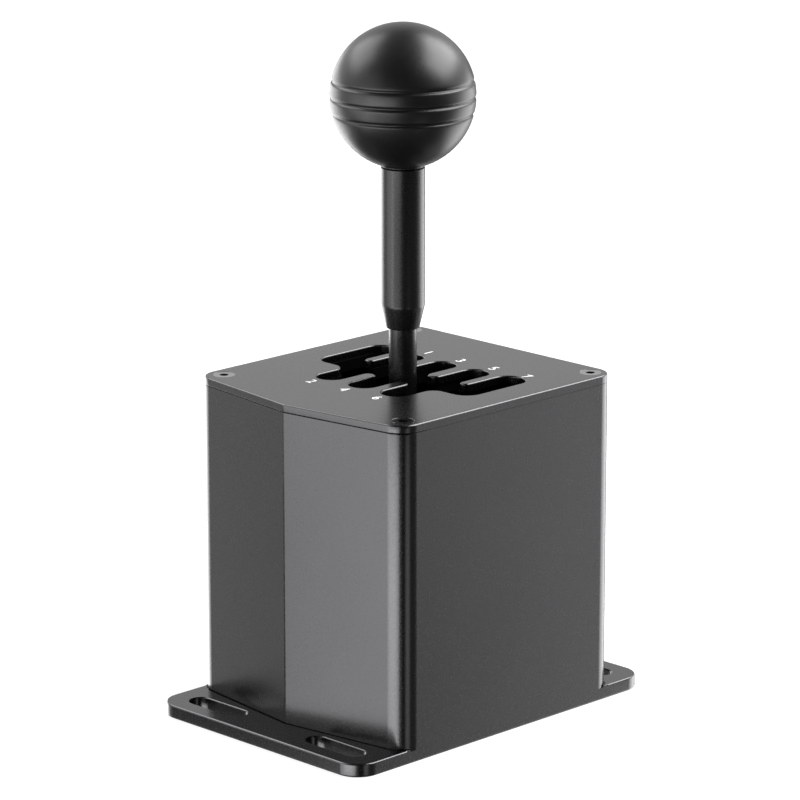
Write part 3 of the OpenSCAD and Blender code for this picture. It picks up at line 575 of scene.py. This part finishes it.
class SHIFTER_OT_stage(Operator):
    """Camera, floor, background, soft boxes, cards and boards"""

    bl_idname = "shifter.stage"
    bl_label = "Stage"

    def execute(self, context):
        self.camera(context.scene)
        context.scene.view_settings.view_transform = "Standard"
        self.background(context.scene)
        self.floor(context.scene.shifter_colours.floor)
        for box in soft_boxes:
            soft_box(*box)
        for card in wall_cards:
            self.card(*card)
        for board in close_boards:
            self.board(*board)
        return {"FINISHED"}

    def camera(self, scene):
        """The camera, turned towards its aim."""
        settings = scene.shifter_stage
        azimuth, elevation = math.degrees(settings.azimuth), math.degrees(settings.elevation)
        deselect()
        bpy.ops.object.camera_add(
            location=Vector(settings.aim) + toward(azimuth, elevation) * settings.distance,
            rotation=(math.pi / 2 - settings.elevation, 0, settings.azimuth),
        )
        camera = bpy.context.object
        camera.name = "camera"
        camera.data.lens = settings.lens
        camera.data.sensor_width = 36
        camera.data.clip_start = 0.1
        camera.data.clip_end = 50
        scene.camera = camera

    def background(self, scene):
        """White behind the object and in reflections, and a plain level of light from all round."""
        plain_level = 0.6
        scene.world = bpy.data.worlds.new("studio")
        tree = empty_tree(scene.world)
        ambient = add_node(tree, "ShaderNodeBackground", {"Color": white, "Strength": plain_level})
        backdrop = add_node(tree, "ShaderNodeBackground", {"Color": white, "Strength": 1.0})
        both = add_node(
            tree, "ShaderNodeMixShader",
            {"Fac": self.seen_rays(tree), 1: ambient.outputs[0], 2: backdrop.outputs[0]},
        )
        add_node(tree, "ShaderNodeOutputWorld", {"Surface": both.outputs[0]})

    def seen_rays(self, tree):
        """1 for rays that show the background: from the camera, in gloss and through glass."""
        path = add_node(tree, "ShaderNodeLightPath", {}).outputs
        seen = path["Is Camera Ray"]
        for kind in ("Is Glossy Ray", "Is Transmission Ray"):
            either = add_node(tree, "ShaderNodeMath", {0: seen, 1: path[kind]}, operation="MAXIMUM")
            seen = either.outputs[0]
        return seen

    def floor(self, base):
        """A pale floor that shows white and keeps the object's shadow."""
        radius, paper_share, glow_share = 3.0, 0.35, 0.75
        deselect()
        bpy.ops.mesh.primitive_circle_add(
            vertices=64, radius=radius, fill_type="NGON", location=(0, 0, cad_box[0].z)
        )
        floor = bpy.context.object
        floor.name = "floor"
        material = bpy.data.materials.new("pale_floor")
        tree = empty_tree(material)
        paper = add_node(tree, "ShaderNodeBsdfDiffuse", {"Color": shade(base, paper_share)})
        glow = add_node(
            tree, "ShaderNodeEmission",
            {"Color": shade(white, glow_share), "Strength": self.seen_rays(tree)},
        )
        both = add_node(tree, "ShaderNodeAddShader", {0: paper.outputs[0], 1: glow.outputs[0]})
        add_node(tree, "ShaderNodeOutputMaterial", {"Surface": both.outputs[0]})
        floor.data.materials.append(material)
        floor.visible_glossy = False
        floor.visible_shadow = False

    def board(self, name, azimuth, distance, width, low, high, tone):
        """An upright board of one tone that faces the object, seen only in reflections."""
        deselect()
        place = toward(azimuth, 0) * distance + Vector((0, 0, (low + high) / 2))
        upright = (math.pi / 2, 0, math.radians(azimuth))
        bpy.ops.mesh.primitive_plane_add(size=1, location=place, rotation=upright)
        board = bpy.context.object
        board.name = name
        board.scale = (width, high - low, 1)
        settle()
        self.reflected_only(board, tone)

    def card(self, name, azimuth, elevation, half_angle, distance, tone):
        """A card of one tone on the studio's walls, round a direction, seen only in reflections."""
        middle, least = toward(azimuth, elevation), math.cos(math.radians(half_angle))
        deselect()
        bpy.ops.mesh.primitive_uv_sphere_add(segments=72, ring_count=36, radius=distance)
        card = bpy.context.object
        card.name = name
        edit_faces(card, lambda face: face.center.normalized().dot(middle) < least)
        bpy.ops.mesh.delete(type="FACE")
        bpy.ops.object.mode_set(mode="OBJECT")
        self.reflected_only(card, tone)

    def reflected_only(self, card, tone):
        """Gives a card its tone, and hides it from all but reflections."""
        material = bpy.data.materials.new(card.name + "_cloth")
        tree = empty_tree(material)
        cloth = add_node(tree, "ShaderNodeEmission", {"Color": white, "Strength": tone})
        add_node(tree, "ShaderNodeOutputMaterial", {"Surface": cloth.outputs[0]})
        card.data.materials.append(material)
        card.visible_camera = False
        card.visible_diffuse = False
        card.visible_shadow = False


# Body

def on_outline(co, fold_out):
    """True by the outside of the body's outline, away from the screws."""
    clear_of_screw = 1.2 * screw_head
    front = cover_low.y + fold_out * abs(co.x) / cover_high.x
    outside = abs(co.x) > cover_high.x - margin or co.y > cover_high.y - margin or co.y < front + margin
    screw = min(math.hypot(abs(co.x) - screw_x, co.y - y) for y in screw_ys)
    return outside and screw > clear_of_screw


def at(value, target):
    """True where a coordinate lies on a face."""
    return abs(value - target) < near


class SHIFTER_OT_housing(Operator):
    """Housing with its base flange, with rounded edges"""

    bl_idname = "shifter.housing"
    bl_label = "Housing"

    def execute(self, context):
        sizes = context.scene.shifter_sizes
        slot_x, slot_y = sizes.slot_x, sizes.slot_y
        step = sizes.base_thickness
        corner = sizes.base_corner
        # Between the stops the flange is no wider than the body, so its rim ends there
        stop_inset = 2 * mm
        front_stop = cover_low.y + sizes.fold_out + stop_inset
        rear_stop = cover_high.y - stop_inset
        # The fold runs down into the seam line round the body's foot, which is shallower than this
        seam_reach = 1 * mm
        piece = cad_copy(
            "housing", "housing_shell", (0, slot_x, -slot_x, screw_x, -screw_x), (front_stop, rear_stop)
        )

        def flange_rim(co):
            beyond = co.y <= front_stop + near or co.y >= rear_stop - near
            on_side = at(abs(co.x), housing_high.x)
            on_end = at(abs(co.y), housing_high.y)
            past = Vector((abs(co.x) - housing_high.x + corner, abs(co.y) - housing_high.y + corner))
            on_corner = past.x >= 0 and past.y >= 0 and at(past.length, corner)
            return (at(co.z, step) and beyond or at(co.z, 0)) and (on_side or on_end or on_corner)

        def slot_rim(co):
            across = abs(abs(co.y) - slot_y) < sizes.slot_width / 2 + near
            along = abs(abs(co.x) - slot_x) < sizes.slot_length / 2 + near
            return at(co.z, step) and across and along

        def seam_rim(co):
            return at(co.z, housing_high.z) and on_outline(co, sizes.fold_out)

        def fold(co):
            on_front = cover_low.y - near < co.y < cover_low.y + margin
            return at(co.x, 0) and on_front and co.z > step - seam_reach

        round_edges(piece, flange_rim, sizes.edge_round)
        round_edges(piece, slot_rim, sizes.slot_round)
        round_edges(piece, seam_rim, sizes.seam_round, segments=2)
        round_edges(piece, fold, sizes.fold_round, segments=2, sharper_than=10)
        smooth(piece)
        finish(piece, "housing_body", finishes["housing"], "dark_anodised", "housing")
        return {"FINISHED"}


class SHIFTER_OT_cover(Operator):
    """Top cover with its gate, with rounded edges"""

    bl_idname = "shifter.cover"
    bl_label = "Cover"

    def execute(self, context):
        sizes = context.scene.shifter_sizes
        piece = cad_copy("top_cover", "gate_cover", (screw_x, -screw_x), (0,))
        columns = 5
        gate_x = columns / 2 * sizes.column_pitch
        behind_corner = cover_low.y + 2 * sizes.body_corner

        def top_rim(co):
            return at(co.z, cover_high.z) and on_outline(co, sizes.fold_out)

        def seam_rim(co):
            return at(co.z, cover_low.z) and co.y < behind_corner and on_outline(co, sizes.fold_out)

        def gate_rim(co):
            return at(co.z, cover_high.z) and abs(co.x) < gate_x and abs(co.y) < sizes.gate_reach

        def fold(co):
            return at(co.x, 0) and co.y < cover_low.y + margin

        round_edges(piece, top_rim, sizes.cover_round, segments=4)
        round_edges(piece, seam_rim, sizes.seam_round, segments=2)
        round_edges(piece, gate_rim, sizes.gate_round, segments=4)
        round_edges(piece, fold, sizes.fold_round, segments=2, sharper_than=10)
        smooth(piece)
        finish(piece, "housing_body", finishes["housing"], "dark_anodised", "top_cover")
        return {"FINISHED"}


class SHIFTER_OT_numbers(Operator):
    """Gear numbers printed on the cover"""

    bl_idname = "shifter.numbers"
    bl_label = "Gear numbers"

    def execute(self, context):
        sizes = context.scene.shifter_sizes
        # Each row's signs, the column of its first sign, counted from the middle one, and its place along Y
        rows = (("R1357", -2, sizes.numbers_rear), ("246", -1, -sizes.numbers_front))
        marks = []
        for signs, first, y in rows:
            for column, sign in enumerate(signs, first):
                x = column * sizes.column_pitch + sizes.numbers_aside
                marks.append(self.mark(sizes, sign, (x, y)))
        piece = join("gear_numbers", marks)
        smooth(piece, weighted=False)
        finish(piece, "housing_body", finishes["ink"], "dark_anodised")
        return {"FINISHED"}

    def mark(self, sizes, sign, middle):
        """One sign, made a mesh and then set on the cover."""
        type_size, bolder = 10 * mm, 0.02 * mm
        deselect()
        bpy.ops.object.text_add()
        letter = bpy.context.object
        letter.data.body = sign
        letter.data.extrude = sizes.number_thickness
        letter.data.size = type_size
        letter.data.offset = bolder
        bpy.ops.object.convert(target="MESH")
        letter = bpy.context.object
        low = Vector(letter.bound_box[0])
        high = Vector(letter.bound_box[6])
        scale = sizes.number_height / (high.y - low.y)
        centre = (low + high) / 2
        letter.scale = (scale, scale, 1)
        letter.location = (middle[0] - centre.x * scale, middle[1] - centre.y * scale, cover_high.z)
        settle()
        return letter


class SHIFTER_OT_cover_screws(Operator):
    """Countersunk hex-socket screws in the corners of the cover"""

    bl_idname = "shifter.cover_screws"
    bl_label = "Cover screws"

    def execute(self, context):
        low, head = screws_low.z, screw_head
        shank, edge, dish, sink = 2 * mm, 0.04 * mm, 0.12 * mm, 0.05 * mm
        top = screws_high.z - sink
        profile = [
            (0, low), (shank - edge, low), (shank, low + edge), (shank, top - shank),
            (head - edge, top - edge), (head - 2 * edge, top), (head / 2, top - dish / 4), (0, top - dish),
        ]
        screw = lathe("cover_screws_bright", profile, context.scene.shifter_sizes.steps // 2)
        self.socket(screw, top)
        smooth(screw, 30, weighted=False)
        copies = []
        for place in [(x, y, 0) for x in (-screw_x, screw_x) for y in screw_ys]:
            one = screw.copy()
            one.data = screw.data.copy()
            context.collection.objects.link(one)
            one.location = place
            activate(one)
            settle()
            copies.append(one)
        bpy.data.objects.remove(screw)
        piece = join("cover_screws_bright", copies)
        finish(piece, "housing_body", finishes["screws"], "bright_screws", "cover_screws")
        return {"FINISHED"}

    def socket(self, screw, top):
        """Cuts the hexagon socket."""
        across_corners, depth = 3.5 * mm, 2 * mm
        deselect()
        bpy.ops.mesh.primitive_cylinder_add(
            vertices=6, radius=across_corners / 2, depth=2 * depth, location=(0, 0, top)
        )
        cutter = bpy.context.object
        settle()
        activate(screw)
        cut = screw.modifiers.new("socket", "BOOLEAN")
        cut.object = cutter
        cut.operation = "DIFFERENCE"
        cut.solver = "EXACT"
        bpy.ops.object.modifier_apply(modifier=cut.name)
        bpy.data.objects.remove(cutter)


# Lever

class SHIFTER_OT_knob(Operator):
    """Ball knob with three grooves and a neck"""

    bl_idname = "shifter.knob"
    bl_label = "Knob"

    def execute(self, context):
        sizes = context.scene.shifter_sizes
        radius = knob_high.x
        middle = knob_high.z - radius
        neck = sleeve_high.x - sizes.neck_step
        edge, fillet = sizes.neck_edge, sizes.neck_fillet
        bore_gap, bore_depth = 0.5 * mm, 4 * mm
        bore = rod_high.x + bore_gap
        rise = -math.sqrt((radius + fillet) ** 2 - (neck + fillet) ** 2)
        meet = math.degrees(math.atan2(rise, neck + fillet))
        profile = [(bore, knob_low.z + bore_depth), (bore, knob_low.z)]
        profile += arc((neck - edge, knob_low.z + edge), edge, -90, 0, 4)
        profile += arc((neck + fillet, middle + rise), fillet, 180, 180 + meet, 8)
        start = meet
        # The ball's stretch up to the lowest groove is longer than those between grooves
        for row, ball_steps in ((-1, 12), (0, 4), (1, 4)):
            turn = math.degrees(math.asin((row * sizes.groove_pitch - sizes.groove_drop) / radius))
            reach, groove = self.groove(radius, middle, turn, sizes.groove_width / 2, sizes.groove_lip)
            profile += arc((0, middle), radius, start, turn - reach, ball_steps) + groove
            start = turn + reach
        profile += arc((0, middle), radius, start, 90, 40)[1:]
        piece = lathe("ball_knob", profile, sizes.steps)
        smooth(piece, weighted=False)
        finish(piece, "lever_body", finishes["knob"], "knob_black", "knob")
        return {"FINISHED"}

    def groove(self, radius, middle, turn, hollow, lip):
        """Half the angle that a groove takes up on the ball, and its points.

        They run along a lip, the hollow and a lip, which are arcs that pass into each other smoothly.
        """
        inner = radius - lip
        reach = math.acos((inner ** 2 + radius ** 2 - (hollow + lip) ** 2) / (2 * inner * radius))
        lean = math.degrees(math.atan2(radius - inner * math.cos(reach), inner * math.sin(reach)))
        reach = math.degrees(reach)

        def on_ball(distance, angle):
            a = math.radians(angle)
            return distance * math.cos(a), middle + distance * math.sin(a)

        low, high = on_ball(inner, turn - reach), on_ball(inner, turn + reach)
        points = arc(low, lip, turn - reach, turn + 90 - lean, 5)[1:]
        points += arc(on_ball(radius, turn), hollow, turn + 270 - lean, turn + 90 + lean, 8)[1:]
        points += arc(high, lip, turn - 90 + lean, turn + reach, 5)[1:]
        return reach, points


class SHIFTER_OT_lever(Operator):
    """Lever sleeve with its tapered foot, and the rod"""

    bl_idname = "shifter.lever"
    bl_label = "Lever"

    def execute(self, context):
        sizes = context.scene.shifter_sizes
        self.sleeve(sizes)
        self.rod(sizes)
        return {"FINISHED"}

    def sleeve(self, sizes):
        """Sleeve: a tube with a broken top edge and a tapered foot."""
        edge, top_edge, blend, fit = 0.5 * mm, 0.15 * mm, 6 * mm, 0.02 * mm
        outer, bore = sleeve_high.x, rod_high.x + fit
        low, high = sleeve_low.z, sleeve_high.z
        foot = rod_high.x + sizes.foot_step
        lean = math.degrees(math.atan2(outer - foot, sizes.taper))
        turn = blend * math.tan(math.radians(lean / 2))
        knee = low + edge + sizes.taper
        profile = [(bore, low), (foot - edge, low)]
        profile += arc((foot - edge, low + edge), edge, -90, -lean, 5)
        profile += arc((outer - blend, knee + turn), blend, -lean, 0, 8)
        profile += arc((outer - top_edge, high - top_edge), top_edge, 0, 90, 3)
        profile += [(bore, high)]
        piece = lathe("lever_sleeve_turned", profile, sizes.steps)
        smooth(piece)
        finish(piece, "lever_body", finishes["lever"], "black_lever", "lever_sleeve")

    def rod(self, sizes):
        """Rod: a turned bar with broken ends."""
        radius, low, high = rod_high.x, rod_low.z, rod_high.z
        edge = 0.5 * mm
        profile = [(0, low)] + arc((radius - edge, low + edge), edge, -90, 0, 4)
        profile += arc((radius - edge, high - edge), edge, 0, 90, 4) + [(0, high)]
        piece = lathe("lever_rod_turned", profile, sizes.steps)
        smooth(piece)
        finish(piece, "lever_body", finishes["lever"], "black_lever", "lever_rod")


# Rear socket

class SHIFTER_OT_socket(Operator):
    """Data socket in the rear wall: shell, tongue and contacts"""

    bl_idname = "shifter.socket"
    bl_label = "Data socket"

    def execute(self, context):
        wall, recess, tongue_edge = 1.2 * mm, 1.5 * mm, 0.3 * mm
        tongue_half = Vector((2.8, 0, 1.6)) * mm
        shell = box_piece("socket_shell", socket_low, socket_high)
        self.hollow(shell, wall)
        smooth(shell)
        finish(shell, "housing_body", finishes["steel"], "steel", "usb_socket")
        middle = (socket_low + socket_high) / 2
        foot = Vector((middle.x, socket_low.y + wall, middle.z))
        tip = Vector((middle.x, socket_high.y - recess, middle.z))
        tongue = box_piece("socket_tongue", foot - tongue_half, tip + tongue_half, tongue_edge)
        smooth(tongue)
        finish(tongue, "housing_body", finishes["pom"], "black_plastic")
        contacts = join("socket_contacts", self.contacts(foot, tip, tongue_half.z))
        smooth(contacts)
        finish(contacts, "housing_body", finishes["gold"], "bronze")
        return {"FINISHED"}

    def hollow(self, shell, wall):
        """Sinks the mouth into the rear face and rounds the edges there."""
        rim = 0.2 * mm
        depth = socket_high.y - socket_low.y - wall
        edit_faces(shell, lambda face: face.normal.y > 0.9)
        bpy.ops.mesh.inset(thickness=wall)
        bpy.ops.mesh.extrude_region_move(TRANSFORM_OT_translate={"value": (0, -depth, 0)})
        bpy.ops.object.mode_set(mode="OBJECT")
        round_edges(shell, lambda co: at(co.y, socket_high.y), rim, segments=2)

    def contacts(self, foot, tip, tongue_half):
        """Two contacts on each side of the tongue, a little shorter than it."""
        half = Vector((0.5, 0, 0.05)) * mm
        aside, shorter, edge = 1.4 * mm, Vector((0, 0.6, 0)) * mm, 0.03 * mm
        contacts = []
        for x in (-aside, aside):
            for side in (-1, 1):
                place = Vector((x, 0, side * (tongue_half + half.z)))
                low, high = foot + place - half, tip + place + half - shorter
                contacts.append(box_piece("contact", low, high, edge))
        return contacts


# Springs

class SHIFTER_OT_springs(Operator):
    """Coil springs of the centring and of the detent"""

    bl_idname = "shifter.springs"
    bl_label = "Springs"

    def execute(self, context):
        centring_wire, centring_turns = 1.4 * mm, 7
        detent_wire, detent_turns = 0.6 * mm, 6
        for side in ("left", "right"):
            node = "centring_spring_" + side
            piece = self.coil(node, "centring_coil_" + side, centring_wire, centring_turns)
            finish(piece, None, finishes["spring"], "steel", node)
            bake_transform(piece)
        piece = self.coil("detent_spring", "detent_coil", detent_wire, detent_turns)
        finish(piece, "cradle_body", finishes["spring"], "steel", "detent_spring")
        return {"FINISHED"}

    def coil(self, node, name, wire, turns):
        """A wire wound round the middle of a node's box."""
        low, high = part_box(node)
        middle = (low + high) / 2
        radius = (high.y - low.y - wire) / 2
        steps_per_turn = 32
        deselect()
        bpy.ops.mesh.primitive_circle_add(
            vertices=12, radius=wire / 2, fill_type="NGON",
            location=(radius, 0, low.z + wire / 2), rotation=(math.pi / 2, 0, 0),
        )
        piece = bpy.context.object
        piece.name = name
        settle()
        wind = piece.modifiers.new("wind", "SCREW")
        wind.angle = math.tau
        wind.iterations = turns
        wind.screw_offset = (high.z - low.z - wire) / turns
        wind.steps = steps_per_turn
        wind.render_steps = steps_per_turn
        bpy.ops.object.modifier_apply(modifier=wind.name)
        edit(piece)
        bpy.ops.transform.translate(value=(middle.x, middle.y, 0))
        bpy.ops.mesh.remove_doubles(threshold=weld)
        bpy.ops.mesh.normals_make_consistent(inside=False)
        bpy.ops.object.mode_set(mode="OBJECT")
        smooth(piece, 50, weighted=False)
        return piece


class SHIFTER_OT_mechanism(Operator):
    """Finishes of the pieces inside and underneath"""

    bl_idname = "shifter.mechanism"
    bl_label = "Mechanism"

    def execute(self, context):
        dress(finishes["housing"], "bottom_plate")
        dress(finishes["liner"], "gate_liner")
        dress(finishes["pom"], "magnet_holder", "board_connectors")
        dress(finishes["cast"], "front_stand", "rear_stand", "cradle", "centring_rocker", "lever_hub")
        dress(finishes["oxide"], "detent_bracket", "rear_circlip", "pin_circlip")
        dress(
            finishes["steel"], "liner_screws", "bottom_screws", "stand_screws", "spring_posts",
            "sensor_standoffs", "sensor_screws", "control_screws", "front_trunnion", "rear_trunnion",
            "rocker_screw", "bracket_screws", "plunger_sleeve", "plunger_nut", "detent_ball", "lock_nut",
            "hub_screw", "cross_pin", "detent_sector", "tail_magnet",
        )
        dress(finishes["bronze"], "trunnion_bushes", "cross_bushes", "knob_insert")
        dress(finishes["board"], "sensor_board", "control_board")
        dress(finishes["chip"], "sensor_chip", "control_chip")
        dress(finishes["ribbon"], "ribbon_cable")
        return {"FINISHED"}


class SHIFTER_PT_pieces(Panel):
    """The shifter's pieces, in the order that they are made"""

    bl_label = "Shifter"
    bl_space_type = "VIEW_3D"
    bl_region_type = "UI"
    bl_category = "Shifter"

    def draw(self, context):
        for operator in operators:
            self.layout.operator(operator.bl_idname)


operators = (
    SHIFTER_OT_stage, SHIFTER_OT_housing, SHIFTER_OT_cover, SHIFTER_OT_numbers, SHIFTER_OT_cover_screws,
    SHIFTER_OT_knob, SHIFTER_OT_lever, SHIFTER_OT_socket, SHIFTER_OT_springs, SHIFTER_OT_mechanism,
)
groups = {"shifter_sizes": ShifterSizes, "shifter_colours": ShifterColours, "shifter_stage": ShifterStage}
finishes = {}


def make_finishes(colours):
    """Makes each material once."""
    finishes["housing"] = blasted_anodised(tuple(colours.housing))
    finishes["knob"] = satin_knob(tuple(colours.knob))
    finishes["lever"] = black_lever(tuple(colours.lever))
    finishes["ink"] = printed_ink(tuple(colours.ink))
    finishes["screws"] = bright_metal("zinc_plated_steel", tuple(colours.screws), 0.16)
    finishes["steel"] = bright_metal("ground_steel", linear("#a9abad"), 0.25)
    finishes["spring"] = bright_metal("spring_steel", linear("#8e9092"), 0.3)
    finishes["oxide"] = bright_metal("black_oxide_steel", linear("#232324"), 0.4)
    finishes["cast"] = cast_metal("die_cast_aluminium", linear("#8f9193"), 0.4)
    finishes["bronze"] = cast_metal("sintered_bronze", linear("#a8783c"), 0.35)
    finishes["gold"] = bright_metal("gold_plate", linear("#d9b25c"), 0.2)
    finishes["pom"] = moulded("black_acetal", linear("#131314"), 0.45)
    # The liner's black is partly its own colour and partly painted shade inside the gate
    finishes["liner"] = shade_black_liner(linear("#020202"))
    finishes["chip"] = moulded("epoxy_package", linear("#1a1a1b"), 0.5)
    finishes["board"] = circuit_board(linear("#1f4a36"))
    finishes["ribbon"] = ribbon(linear("#b9b9b4"))


def register():
    """Registers the classes and the settings."""
    for group in groups.values():
        bpy.utils.register_class(group)
    for kind in operators + (SHIFTER_PT_pieces,):
        bpy.utils.register_class(kind)
    for name, group in groups.items():
        setattr(bpy.types.Scene, name, PointerProperty(type=group))


def unregister():
    """Takes the classes and the settings out again."""
    for name in groups:
        delattr(bpy.types.Scene, name)
    for kind in reversed(operators + (SHIFTER_PT_pieces,)):
        bpy.utils.unregister_class(kind)
    for group in groups.values():
        bpy.utils.unregister_class(group)


def main():
    """Builds the shifter."""
    register()
    make_finishes(bpy.context.scene.shifter_colours)
    for operator in operators:
        group, name = operator.bl_idname.split(".")
        getattr(getattr(bpy.ops, group), name)()
    deselect()


if __name__ == "__main__":
    main()
